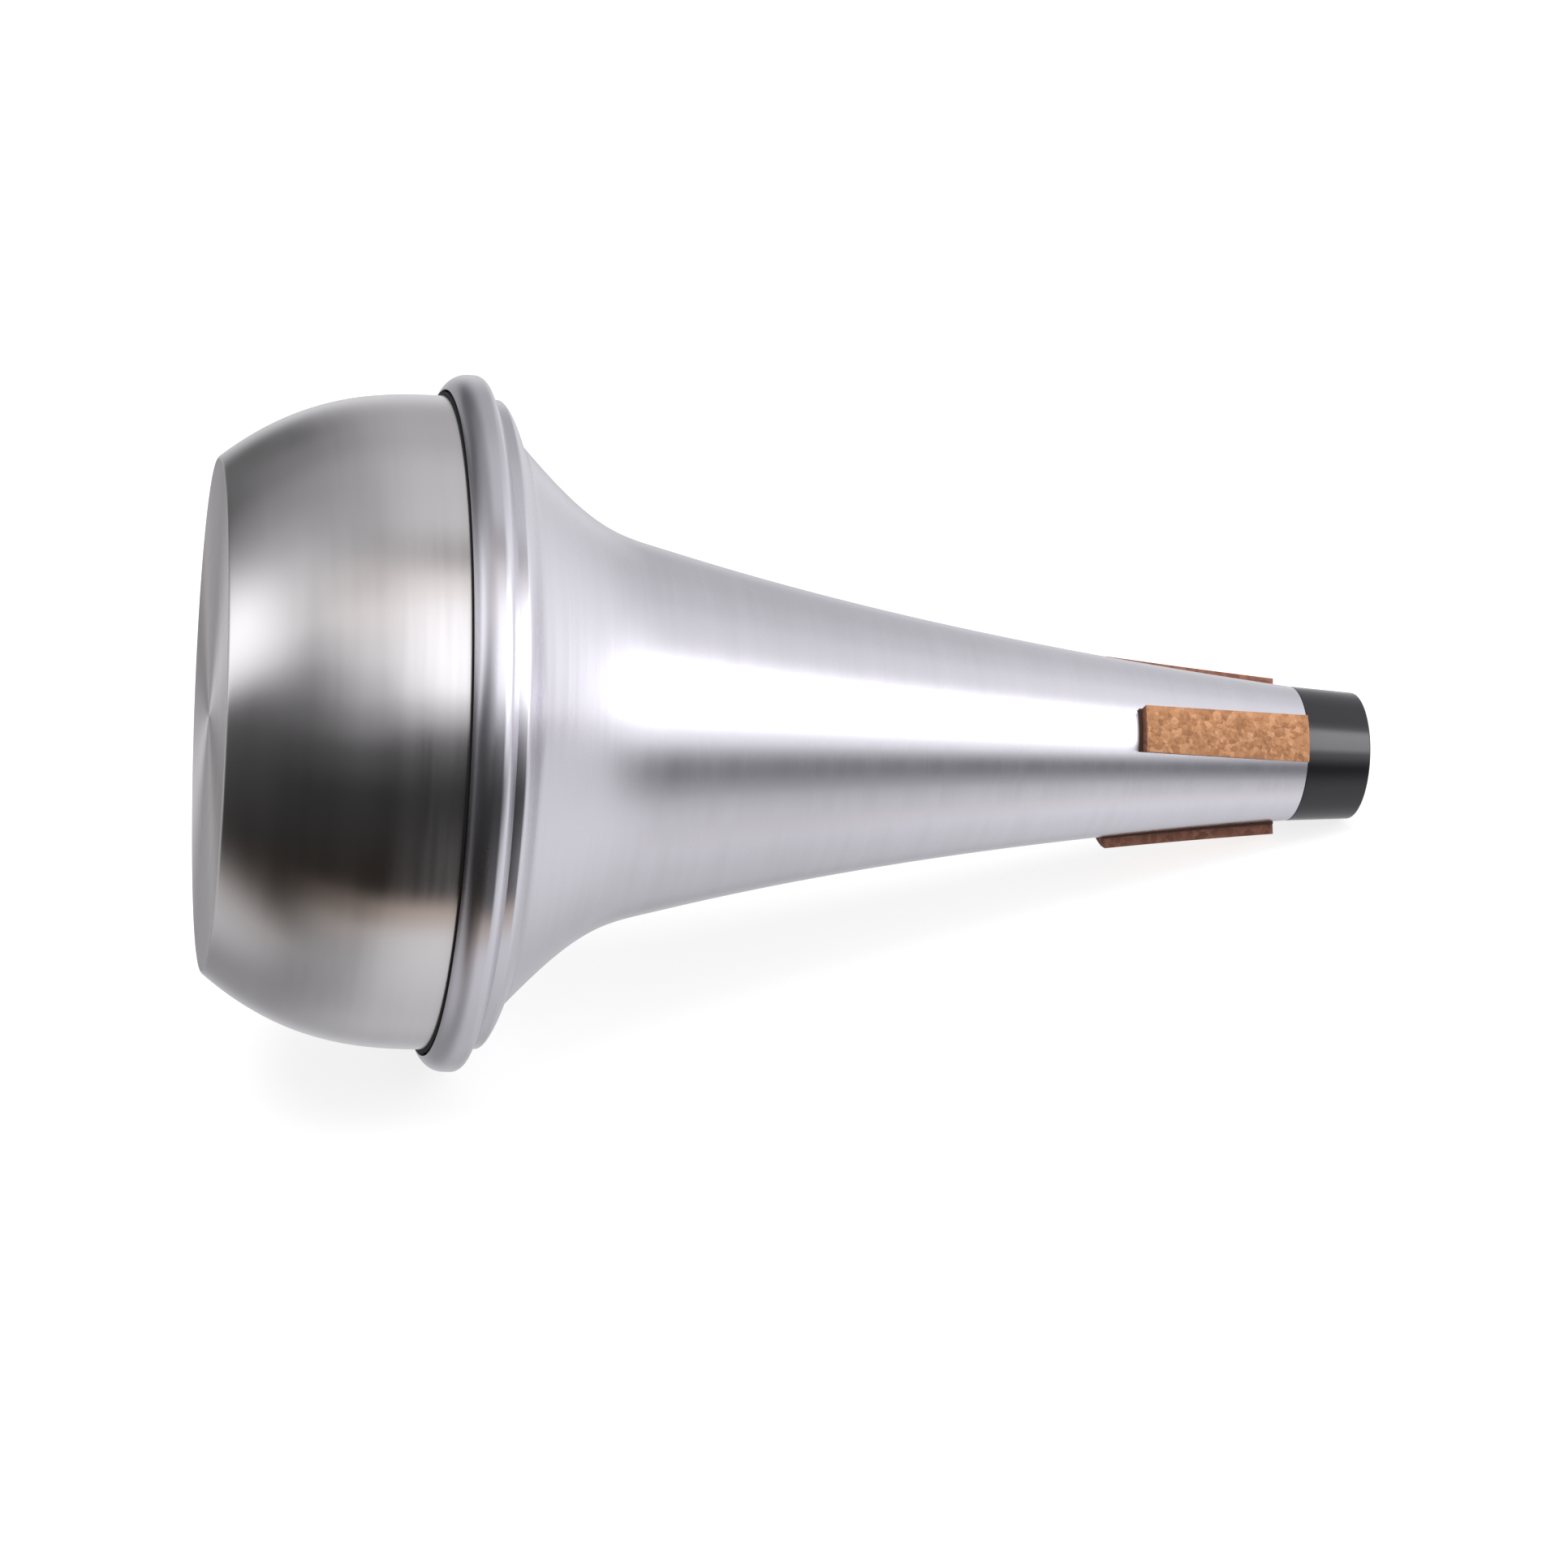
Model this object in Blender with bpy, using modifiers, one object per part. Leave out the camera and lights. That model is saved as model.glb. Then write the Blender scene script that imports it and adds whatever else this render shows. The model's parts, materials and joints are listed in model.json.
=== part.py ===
"""Trombone practice mute, laid on its side the way a player puts it down.

Two spun aluminium shells, a front cone and a rear bowl, are locked by a rolled seam. A black throat
sleeve is pushed into the neck, three cork strips are stuck on to grip the bell, and a felt disc
lies inside the base. Each piece is modelled along the mute's own axis, which is local +Z: a station
is a distance along that axis from the outside of the base, and a radius is measured from it.
An empty then lays the whole mute down on its rolled bead and on the end of its sleeve.
Sizes are in metres.
"""

import math

import bmesh
import bpy

# Whole mute
TOTAL_LENGTH = 0.2400
SHEET_THICKNESS = 0.0010
FIT_GAP = 0.0003

# Rear bowl: flat base, bulging side and straight wall at the seam
BASE_FACE_RADIUS = 0.0506
BASE_BEND_LENGTH = 0.0015
BASE_BEND_HEIGHT = 0.0022
BULB_RADIUS = 0.0660
BULB_LENGTH = 0.0430
BULB_FULLNESS = 2.5
BOWL_WALL_RUN = 0.0013

# Rolled bead of the front cone: round behind, then a short flat crest, and a tighter bend down to a
# front side that leans towards the neck. Under its lip is the sealing ring.
BEAD_RADIUS = 0.0044
BEAD_CREST = 0.0013
BEAD_FRONT_RADIUS = 0.0020
BEAD_FRONT_LEAN_DEG = 22.0
SEAL_THICKNESS = 0.0004
SEAL_WIDTH = 0.0016
HOOK_GAP = 0.0006
HOOK_WRAP_DEG = 80.0

# Front cone: shoulder behind the bead, flare, and the exponential horn that ends at the neck
SHOULDER_INSET = 0.0003
SHOULDER_RUN = 0.0017
SHOULDER_ROUND = 0.0012
STEP_HEIGHT = 0.0076
STEP_RUN = 0.0039
FLARE_START_SLOPE = 1.07
FLARE_TANGENT = 0.0080
WAIST_STATION = 0.0832
WAIST_RADIUS = 0.0392
NECK_RADIUS = 0.0142

# Throat sleeve
SLEEVE_EXPOSED = 0.0140
SLEEVE_END_RADIUS = 0.0134
SLEEVE_BORE_RADIUS = 0.0105
SLEEVE_SPIGOT_LENGTH = 0.0120
SLEEVE_EDGE = 0.0004

# Cork strips and their adhesive
CORK_COUNT = 3
CORK_LENGTH = 0.0365
CORK_WIDTH = 0.0090
CORK_THICKNESS = 0.0019
CORK_NECK_SETBACK = 0.0009
CORK_SETBACK_STEP = 0.0007
CORK_LEFT_TURN_DEG = 3.0
ADHESIVE_THICKNESS = 0.0003
ADHESIVE_MARGIN = 0.0006

# Felt disc inside the base
FELT_RADIUS = 0.0460
FELT_THICKNESS = 0.0060
FELT_EDGE = 0.0012

# Fineness of the turned and bent surfaces
TURN_STEPS = 60
BULB_POINTS = 9
BEND_POINTS = 3
HOOK_POINTS = 4
BEAD_BACK_POINTS = 6
BEAD_FRONT_POINTS = 5
SHOULDER_POINTS = 4
FLARE_POINTS = 6
HORN_POINTS = 8
CORK_CELLS_LONG = 6
CORK_CELLS_WIDE = 3

# Worked out from the sizes above
BEAD_STATION = BULB_LENGTH + BOWL_WALL_RUN + BEAD_RADIUS
BEAD_INNER_RADIUS = BEAD_RADIUS - SHEET_THICKNESS
BEAD_FRONT_STATION = BEAD_STATION + BEAD_CREST
BEAD_FRONT_LIFT = BULB_RADIUS + BEAD_RADIUS - BEAD_FRONT_RADIUS
BEAD_FRONT_LEAN = math.radians(BEAD_FRONT_LEAN_DEG)
HOOK_RADIUS = BEAD_INNER_RADIUS - HOOK_GAP - SHEET_THICKNESS
SHOULDER_RADIUS = BULB_RADIUS - SHOULDER_INSET
LEAN_DROP = BEAD_FRONT_LIFT + BEAD_FRONT_RADIUS * math.sin(BEAD_FRONT_LEAN) - SHOULDER_RADIUS
SHOULDER_STATION = (BEAD_FRONT_STATION + BEAD_FRONT_RADIUS * math.cos(BEAD_FRONT_LEAN)
                    + LEAN_DROP * math.tan(BEAD_FRONT_LEAN))
NECK_STATION = TOTAL_LENGTH - SLEEVE_EXPOSED
FELT_STATION = SHEET_THICKNESS + FIT_GAP
CORK_LIFT = FIT_GAP + ADHESIVE_THICKNESS + FIT_GAP
HALF_STEP = math.pi / TURN_STEPS
FACET_REACH = math.cos(HALF_STEP)


def material(name, colour, roughness, metallic):
    """Return a plain Principled material."""
    made = bpy.data.materials.new(name)
    made.use_nodes = True
    shader = made.node_tree.nodes["Principled BSDF"]
    shader.inputs["Base Color"].default_value = (*colour, 1.0)
    shader.inputs["Roughness"].default_value = roughness
    shader.inputs["Metallic"].default_value = metallic
    made.diffuse_color = (*colour, 1.0)
    return made


def arc(station, radius, size, start_deg, end_deg, count):
    """Points (radius, station) on a circle. Angle 0 points to the neck and 90 points outwards."""
    points = []
    for index in range(count):
        angle = math.radians(start_deg + (end_deg - start_deg) * index / (count - 1))
        points.append((radius + size * math.sin(angle), station + size * math.cos(angle)))
    return points


def bezier(handles, count):
    """Points along a Bezier curve of any degree, both ends included."""
    points = []
    for index in range(count):
        share = index / (count - 1)
        level = [tuple(handle) for handle in handles]
        while len(level) > 1:
            pairs = zip(level, level[1:])
            level = [tuple(a + (b - a) * share for a, b in zip(p, q)) for p, q in pairs]
        points.append(level[0])
    return points


def bulb_radius(station):
    """Outer radius of the bowl's bulging side: steep at the base, parallel to the axis at the seam."""
    left = (BULB_LENGTH - station) / (BULB_LENGTH - BASE_BEND_LENGTH)
    rise = BULB_RADIUS - BASE_FACE_RADIUS - BASE_BEND_HEIGHT
    return BULB_RADIUS - rise * left ** BULB_FULLNESS


def horn_radius(station):
    """Outer radius of the horn, which shrinks by the same share in every millimetre."""
    share = (station - WAIST_STATION) / (NECK_STATION - WAIST_STATION)
    return WAIST_RADIUS * (NECK_RADIUS / WAIST_RADIUS) ** share


def bead_lip_angle():
    """Angle at which the rolled bead stops, so that the sealing ring fits under its lip."""
    height = SEAL_THICKNESS + 2.0 * FIT_GAP
    return 180.0 - math.degrees(math.asin(height / BEAD_INNER_RADIUS))


def front_cone_profile():
    """Outer side of the front sheet, from the neck down to the lip of the rolled bead."""
    horn = []
    for index in range(HORN_POINTS):
        station = NECK_STATION + (WAIST_STATION - NECK_STATION) * index / (HORN_POINTS - 1)
        horn.append((horn_radius(station), station))
    horn_slope = WAIST_RADIUS * math.log(WAIST_RADIUS / NECK_RADIUS) / (NECK_STATION - WAIST_STATION)
    step_foot = (SHOULDER_RADIUS - STEP_HEIGHT, SHOULDER_STATION + SHOULDER_RUN + STEP_RUN)
    flare = bezier([
        (WAIST_RADIUS, WAIST_STATION),
        (WAIST_RADIUS + horn_slope * FLARE_TANGENT, WAIST_STATION - FLARE_TANGENT),
        (step_foot[0] - FLARE_START_SLOPE * FLARE_TANGENT, step_foot[1] + FLARE_TANGENT),
        step_foot,
    ], FLARE_POINTS)
    shoulder = bezier([
        step_foot,
        (SHOULDER_RADIUS, SHOULDER_STATION + SHOULDER_RUN + SHOULDER_ROUND),
        (SHOULDER_RADIUS, SHOULDER_STATION + SHOULDER_RUN),
    ], SHOULDER_POINTS)
    notch = [(SHOULDER_RADIUS, SHOULDER_STATION)]
    front = arc(BEAD_FRONT_STATION, BEAD_FRONT_LIFT, BEAD_FRONT_RADIUS, BEAD_FRONT_LEAN_DEG, 90.0,
                BEAD_FRONT_POINTS)
    back = arc(BEAD_STATION, BULB_RADIUS, BEAD_RADIUS, 90.0, bead_lip_angle(), BEAD_BACK_POINTS)
    return horn + flare[1:] + shoulder[1:] + notch + front + back


def rear_bowl_profile():
    """Outer side of the rear sheet, from the hook inside the bead down to the middle of the base."""
    hook = arc(BEAD_STATION, BULB_RADIUS, HOOK_RADIUS, HOOK_WRAP_DEG, 0.0, HOOK_POINTS)
    bulb = []
    for index in range(BULB_POINTS):
        station = BULB_LENGTH + (BASE_BEND_LENGTH - BULB_LENGTH) * index / (BULB_POINTS - 1)
        bulb.append((bulb_radius(station), station))
    bend = bezier([
        (BASE_FACE_RADIUS + BASE_BEND_HEIGHT, BASE_BEND_LENGTH),
        (BASE_FACE_RADIUS + 0.5 * BASE_BEND_HEIGHT, 0.0),
        (BASE_FACE_RADIUS, 0.0),
    ], BEND_POINTS + 1)
    return hook + bulb + bend[1:] + [(0.0, 0.0)]


def throat_sleeve_profile():
    """Closed section of the sleeve: collar flush with the neck, spigot inside it, bore through both."""
    collar_station = NECK_STATION + FIT_GAP
    spigot_radius = NECK_RADIUS - SHEET_THICKNESS - FIT_GAP
    spigot_end = NECK_STATION - SLEEVE_SPIGOT_LENGTH
    return [
        (SLEEVE_BORE_RADIUS + SLEEVE_EDGE, TOTAL_LENGTH),
        (SLEEVE_END_RADIUS - SLEEVE_EDGE, TOTAL_LENGTH),
        (SLEEVE_END_RADIUS, TOTAL_LENGTH - SLEEVE_EDGE),
        (NECK_RADIUS, collar_station),
        (spigot_radius, collar_station),
        (spigot_radius, spigot_end + SLEEVE_EDGE),
        (spigot_radius - SLEEVE_EDGE, spigot_end),
        (SLEEVE_BORE_RADIUS, spigot_end),
        (SLEEVE_BORE_RADIUS, TOTAL_LENGTH - SLEEVE_EDGE),
    ]


def seam_seal_profile():
    """Closed section of the black ring that fills the seam between the bowl and the bead's lip."""
    inner = BULB_RADIUS + FIT_GAP
    outer = inner + SEAL_THICKNESS
    lip = math.radians(bead_lip_angle())
    start = BEAD_STATION + BEAD_RADIUS * math.cos(lip) - FIT_GAP
    return [
        (inner, start + SEAL_WIDTH),
        (outer, start + SEAL_WIDTH),
        (outer, start),
        (inner, start),
    ]


def place(obj, surface, parent, collection):
    """Give an object its material, its parent and its collection."""
    obj.data.materials.append(surface)
    obj.parent = parent
    collection.objects.link(obj)
    return obj


def turned(name, profile, surface, parent, collection, closed=False):
    """Turn a profile about the axis. An open profile is a sheet that gets its wall inwards."""
    mesh = bpy.data.meshes.new(name)
    points = [(radius, 0.0, station) for radius, station in profile]
    edges = [(index, index + 1) for index in range(len(points) - 1)]
    if closed:
        edges.append((len(points) - 1, 0))
    mesh.from_pydata(points, edges, [])
    obj = place(bpy.data.objects.new(name, mesh), surface, parent, collection)
    obj.rotation_euler.z = HALF_STEP
    screw = obj.modifiers.new("turn", "SCREW")
    screw.steps = TURN_STEPS
    screw.render_steps = TURN_STEPS
    screw.use_merge_vertices = True
    screw.merge_threshold = 0.00001
    screw.use_smooth_shade = True
    if not closed:
        wall = obj.modifiers.new("wall", "SOLIDIFY")
        wall.thickness = SHEET_THICKNESS
        wall.offset = -1.0
        wall.use_even_offset = True
    return obj


def horn_strip(name, azimuth, start, length, width, lift, thickness, surface, parent, collection):
    """A flat strip bent onto the horn: lift is its height over the metal, thickness goes outwards."""
    sheet = bmesh.new()
    bmesh.ops.create_grid(sheet, x_segments=CORK_CELLS_LONG, y_segments=CORK_CELLS_WIDE, size=0.5)
    for vertex in sheet.verts:
        station = start + (0.5 - vertex.co.x) * length
        across = vertex.co.y * width
        radius = horn_radius(station) + lift
        angle = azimuth + across / radius
        vertex.co = (radius * math.cos(angle), radius * math.sin(angle), station)
    mesh = bpy.data.meshes.new(name)
    sheet.to_mesh(mesh)
    sheet.free()
    mesh.shade_smooth()
    obj = place(bpy.data.objects.new(name, mesh), surface, parent, collection)
    body = obj.modifiers.new("body", "SOLIDIFY")
    body.thickness = thickness
    body.offset = 1.0
    body.use_even_offset = True
    return obj


def add_cork_strips(cork, adhesive, parent, collection):
    """Cork strips round the horn, each a little nearer the neck's end and the left one a little off."""
    names = ["lower", "left", "right"]
    turns = [0.0, CORK_LEFT_TURN_DEG, 0.0]
    for index in range(CORK_COUNT):
        turn = turns[index] if index < len(turns) else 0.0
        azimuth = 2.0 * math.pi * index / CORK_COUNT + math.radians(turn)
        setback = CORK_NECK_SETBACK + CORK_SETBACK_STEP * (CORK_COUNT - 1 - index)
        start = NECK_STATION - setback - CORK_LENGTH
        label = names[index] if index < len(names) else str(index + 1)
        horn_strip("cork_strip_" + label, azimuth, start, CORK_LENGTH, CORK_WIDTH, CORK_LIFT,
                   CORK_THICKNESS, cork, parent, collection)
        horn_strip("cork_adhesive_" + label, azimuth, start - ADHESIVE_MARGIN,
                   CORK_LENGTH + ADHESIVE_MARGIN, CORK_WIDTH, FIT_GAP, ADHESIVE_THICKNESS,
                   adhesive, parent, collection)


def add_felt_disc(felt, parent, collection):
    """Felt disc that rests on the inside of the base."""
    disc = bmesh.new()
    bmesh.ops.create_cone(disc, cap_ends=True, segments=TURN_STEPS, radius1=FELT_RADIUS,
                          radius2=FELT_RADIUS, depth=FELT_THICKNESS)
    mesh = bpy.data.meshes.new("damping_disc")
    disc.to_mesh(mesh)
    disc.free()
    obj = place(bpy.data.objects.new("damping_disc", mesh), felt, parent, collection)
    obj.location.z = FELT_STATION + 0.5 * FELT_THICKNESS
    edge = obj.modifiers.new("soft_edge", "BEVEL")
    edge.width = FELT_EDGE
    edge.segments = 1
    edge.limit_method = "ANGLE"
    return obj


def lying_tilt():
    """Angle between the axis and the floor when bead and sleeve end both touch the floor."""
    rise = FACET_REACH * (BEAD_FRONT_LIFT - SLEEVE_END_RADIUS)
    run = TOTAL_LENGTH - SLEEVE_EDGE - BEAD_FRONT_STATION
    return math.atan2(rise, run) + math.asin(BEAD_FRONT_RADIUS / math.hypot(rise, run))


def lay_down(rest):
    """Turn the axis towards +X, tip down, with the middle of the underside over the origin."""
    tilt = lying_tilt()
    along = math.cos(tilt)
    down = math.sin(tilt)
    outline = front_cone_profile() + rear_bowl_profile() + throat_sleeve_profile()
    back = min(station * along - radius * FACET_REACH * down for radius, station in outline)
    front = max(station * along + radius * FACET_REACH * down for radius, station in outline)
    depth = max(station * down + radius * FACET_REACH * along for radius, station in outline)
    rest.rotation_euler.y = 0.5 * math.pi + tilt
    rest.location = (-0.5 * (back + front), 0.0, depth)


def build():
    """Make every piece of the mute."""
    for obj in list(bpy.data.objects):
        bpy.data.objects.remove(obj, do_unlink=True)
    collection = bpy.data.collections.new("trombone_practice_mute")
    bpy.context.scene.collection.children.link(collection)
    rest = bpy.data.objects.new("lying_rest", None)
    collection.objects.link(rest)

    cone_metal = material("brushed_aluminium_cone", (0.62, 0.61, 0.64), 0.32, 1.0)
    bowl_metal = material("brushed_aluminium_bowl", (0.56, 0.54, 0.55), 0.30, 1.0)
    seal_rubber = material("black_seal_rubber", (0.012, 0.011, 0.012), 0.70, 0.0)
    sleeve_plastic = material("black_sleeve_plastic", (0.022, 0.022, 0.028), 0.42, 0.0)
    cork = material("granulated_cork", (0.52, 0.25, 0.09), 0.88, 0.0)
    adhesive = material("dark_contact_adhesive", (0.05, 0.022, 0.012), 0.60, 0.0)
    felt = material("grey_wool_felt", (0.12, 0.12, 0.12), 0.95, 0.0)

    turned("front_cone", front_cone_profile(), cone_metal, rest, collection)
    turned("rear_bowl", rear_bowl_profile(), bowl_metal, rest, collection)
    turned("seam_seal", seam_seal_profile(), seal_rubber, rest, collection, closed=True)
    turned("throat_sleeve", throat_sleeve_profile(), sleeve_plastic, rest, collection, closed=True)
    add_cork_strips(cork, adhesive, rest, collection)
    add_felt_disc(felt, rest, collection)
    lay_down(rest)


build()
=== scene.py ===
"""Looks of the trombone practice mute: spun aluminium, pressed cork, black sleeve and seam ring.

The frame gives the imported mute, lying on its bead and on the end of its sleeve. Each shell is turned
again here with a fine, smooth skin on the same profile, and the strips get their cork granules.
A station is a distance along the mute's axis from its base, and a radius is measured from the axis.
"""

import json
import math

import bmesh
import bpy
from mathutils import Matrix, Vector


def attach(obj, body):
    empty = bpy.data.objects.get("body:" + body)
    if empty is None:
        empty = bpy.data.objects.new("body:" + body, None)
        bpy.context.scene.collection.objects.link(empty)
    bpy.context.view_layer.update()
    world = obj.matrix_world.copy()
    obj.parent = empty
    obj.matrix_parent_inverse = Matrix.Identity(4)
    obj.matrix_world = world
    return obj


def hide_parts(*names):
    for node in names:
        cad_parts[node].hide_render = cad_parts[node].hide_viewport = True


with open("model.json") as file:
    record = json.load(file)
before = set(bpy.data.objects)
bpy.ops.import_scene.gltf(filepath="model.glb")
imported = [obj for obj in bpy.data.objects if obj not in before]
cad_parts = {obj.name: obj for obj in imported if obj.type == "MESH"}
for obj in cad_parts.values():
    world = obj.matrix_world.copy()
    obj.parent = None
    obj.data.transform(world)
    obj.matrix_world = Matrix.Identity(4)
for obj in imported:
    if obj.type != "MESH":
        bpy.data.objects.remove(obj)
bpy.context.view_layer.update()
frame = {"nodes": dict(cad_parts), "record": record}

# Sizes of the mute, in metres, the same as those of its solids
TOTAL_LENGTH = 0.2400
SHEET = 0.0010
FIT_GAP = 0.0003
BASE_FACE_RADIUS = 0.0506
BASE_BEND_LENGTH = 0.0015
BASE_BEND_HEIGHT = 0.0022
BULB_RADIUS = 0.0660
BULB_LENGTH = 0.0430
BULB_FULLNESS = 2.5
BOWL_WALL_RUN = 0.0013
BEAD_RADIUS = 0.0044
BEAD_CREST = 0.0013
BEAD_FRONT_RADIUS = 0.0020
BEAD_FRONT_LEAN_DEG = 22.0
SEAL_THICKNESS = 0.0004
SEAL_WIDTH = 0.0016
HOOK_GAP = 0.0006
HOOK_WRAP_DEG = 80.0
SHOULDER_INSET = 0.0003
SHOULDER_RUN = 0.0017
SHOULDER_ROUND = 0.0012
STEP_HEIGHT = 0.0076
STEP_RUN = 0.0039
FLARE_START_SLOPE = 1.07
FLARE_HANDLES = (0.0115, 0.0170)
WAIST_STATION = 0.0832
WAIST_RADIUS = 0.0392
NECK_RADIUS = 0.0142
SLEEVE_EXPOSED = 0.0140
SLEEVE_END_RADIUS = 0.0134
SLEEVE_BORE_RADIUS = 0.0105
SLEEVE_SPIGOT_LENGTH = 0.0120
SLEEVE_EDGE = 0.0004
CORK_LENGTH = 0.0365
CORK_WIDTH = 0.0090
CORK_THICKNESS = 0.0019
CORK_NECK_SETBACK = 0.0009
CORK_SETBACK_STEP = 0.0007
CORK_TURNS_DEG = (0.0, 3.0, 0.0)
ADHESIVE_THICKNESS = 0.0003
ADHESIVE_MARGIN = 0.0006
CORK_COUNT = 3
CAD_TURN_STEPS = 60

BEAD_STATION = BULB_LENGTH + BOWL_WALL_RUN + BEAD_RADIUS
BEAD_FRONT_STATION = BEAD_STATION + BEAD_CREST
BEAD_FRONT_LIFT = BULB_RADIUS + BEAD_RADIUS - BEAD_FRONT_RADIUS
BEAD_FRONT_LEAN = math.radians(BEAD_FRONT_LEAN_DEG)
SHOULDER_RADIUS = BULB_RADIUS - SHOULDER_INSET
LEAN_DROP = BEAD_FRONT_LIFT + BEAD_FRONT_RADIUS * math.sin(BEAD_FRONT_LEAN) - SHOULDER_RADIUS
SHOULDER_STATION = (BEAD_FRONT_STATION + BEAD_FRONT_RADIUS * math.cos(BEAD_FRONT_LEAN)
                    + LEAN_DROP * math.tan(BEAD_FRONT_LEAN))
NECK_STATION = TOTAL_LENGTH - SLEEVE_EXPOSED
FACET_REACH = math.cos(math.pi / CAD_TURN_STEPS)
SKIN_STEPS = 240
HORN_START = 0.0920
HORN_RINGS = 70
BASE_EDGE = 0.0005
JOIN_DISTANCE = 0.000001
EDGE_WEAR = 0.0001
SHARP_EDGE_DEG = 40.0

# Cork granules: how far apart, how wide, how thick and how proud they are in metres, how many there
# may be on a square metre, how far they lean in radians, and how far their tone goes from the mean
GRAIN_SPACING = 0.0009
GRAIN_WIDTHS = (0.0008, 0.0014)
GRAIN_HEIGHTS = (0.00010, 0.00018)
GRAIN_PROUD = 0.00008
GRAIN_DENSITY = 9000000.0
GRAIN_LEAN = 0.2
GRAIN_TONES = (-0.4, 0.4)

# The neck's metal colour is painted brighter than the flare's, a painted sheen: the ways along the skin
# between which that grows, and how much brighter the neck ends up
PAINTED_SHEEN_START = 0.0850
PAINTED_SHEEN_FULL = 0.1600
NECK_PAINTED_SHEEN = 1.16

# The flat base is faced and sanded after spinning, which leaves it rougher, and its colour is painted a
# little lighter, a painted sheen. It is found by its normal: the normal's share along the axis where
# sanding and sheen begin and where they are full.
BASE_FACING = (-0.97, -0.995)
BASE_DULLNESS = 0.34
BASE_PAINTED_SHEEN = 1.15


def lying_tilt():
    """Angle of the axis below level, with bead and sleeve end both on the floor."""
    rise = FACET_REACH * (BEAD_FRONT_LIFT - SLEEVE_END_RADIUS)
    run = TOTAL_LENGTH - SLEEVE_EDGE - BEAD_FRONT_STATION
    return math.atan2(rise, run) + math.asin(BEAD_FRONT_RADIUS / math.hypot(rise, run))


TILT = lying_tilt()
AXIS = Vector((math.cos(TILT), 0.0, -math.sin(TILT)))
AXIS_UP = Vector((math.sin(TILT), 0.0, math.cos(TILT)))
BASE_CENTRE = Vector(frame["record"]["mounts"][0]["pos_m"])
LYING = Matrix.Translation(BASE_CENTRE) @ Matrix.Rotation(0.5 * math.pi + TILT, 4, "Y")


def srgb(code):
    """Linear colour of an sRGB hex value."""
    parts = [int(code[place:place + 2], 16) / 255.0 for place in (1, 3, 5)]
    return tuple(p / 12.92 if p <= 0.04045 else ((p + 0.055) / 1.055) ** 2.4 for p in parts) + (1.0,)


def add_node(tree, kind, links=(), **settings):
    """Add a node. Settings are its properties, or its inputs by name, and links go to its inputs."""
    node = tree.nodes.new(kind)
    for name, value in settings.items():
        if hasattr(node, name):
            setattr(node, name, value)
        else:
            node.inputs[name.replace("_", " ")].default_value = value
    for socket, source in dict(links).items():
        tree.links.new(source, node.inputs[socket])
    return node


def new_material(name):
    """Empty node material with its shader and output."""
    made = bpy.data.materials.new(name)
    made.use_nodes = True
    tree = made.node_tree
    tree.nodes.clear()
    shader = add_node(tree, "ShaderNodeBsdfPrincipled")
    add_node(tree, "ShaderNodeOutputMaterial", {"Surface": shader.outputs["BSDF"]})
    return made, tree, shader


def ring_position(tree):
    """Position from the middle of the base: X and Y across the mute's axis, Z the way along its skin.

    The way along the skin is the station less the radius, which runs on from the base over both shells.
    """
    place = add_node(tree, "ShaderNodeTexCoord")
    turned_back = add_node(tree, "ShaderNodeMapping", {"Vector": place.outputs["Object"]},
                           vector_type="TEXTURE")
    turned_back.inputs["Location"].default_value = BASE_CENTRE
    turned_back.inputs["Rotation"].default_value = (0.0, 0.5 * math.pi + TILT, 0.0)
    across = add_node(tree, "ShaderNodeVectorMath", {0: turned_back.outputs["Vector"]},
                      operation="MULTIPLY")
    across.inputs[1].default_value = (1.0, 1.0, 0.0)
    radius = add_node(tree, "ShaderNodeVectorMath", {0: across.outputs["Vector"]}, operation="LENGTH")
    parts = add_node(tree, "ShaderNodeSeparateXYZ", {"Vector": turned_back.outputs["Vector"]})
    way = add_node(tree, "ShaderNodeMath", {0: parts.outputs["Z"], 1: radius.outputs["Value"]},
                   operation="SUBTRACT")
    ring = add_node(tree, "ShaderNodeCombineXYZ",
                    {"X": parts.outputs["X"], "Y": parts.outputs["Y"], "Z": way.outputs["Value"]})
    return ring.outputs["Vector"]


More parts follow.
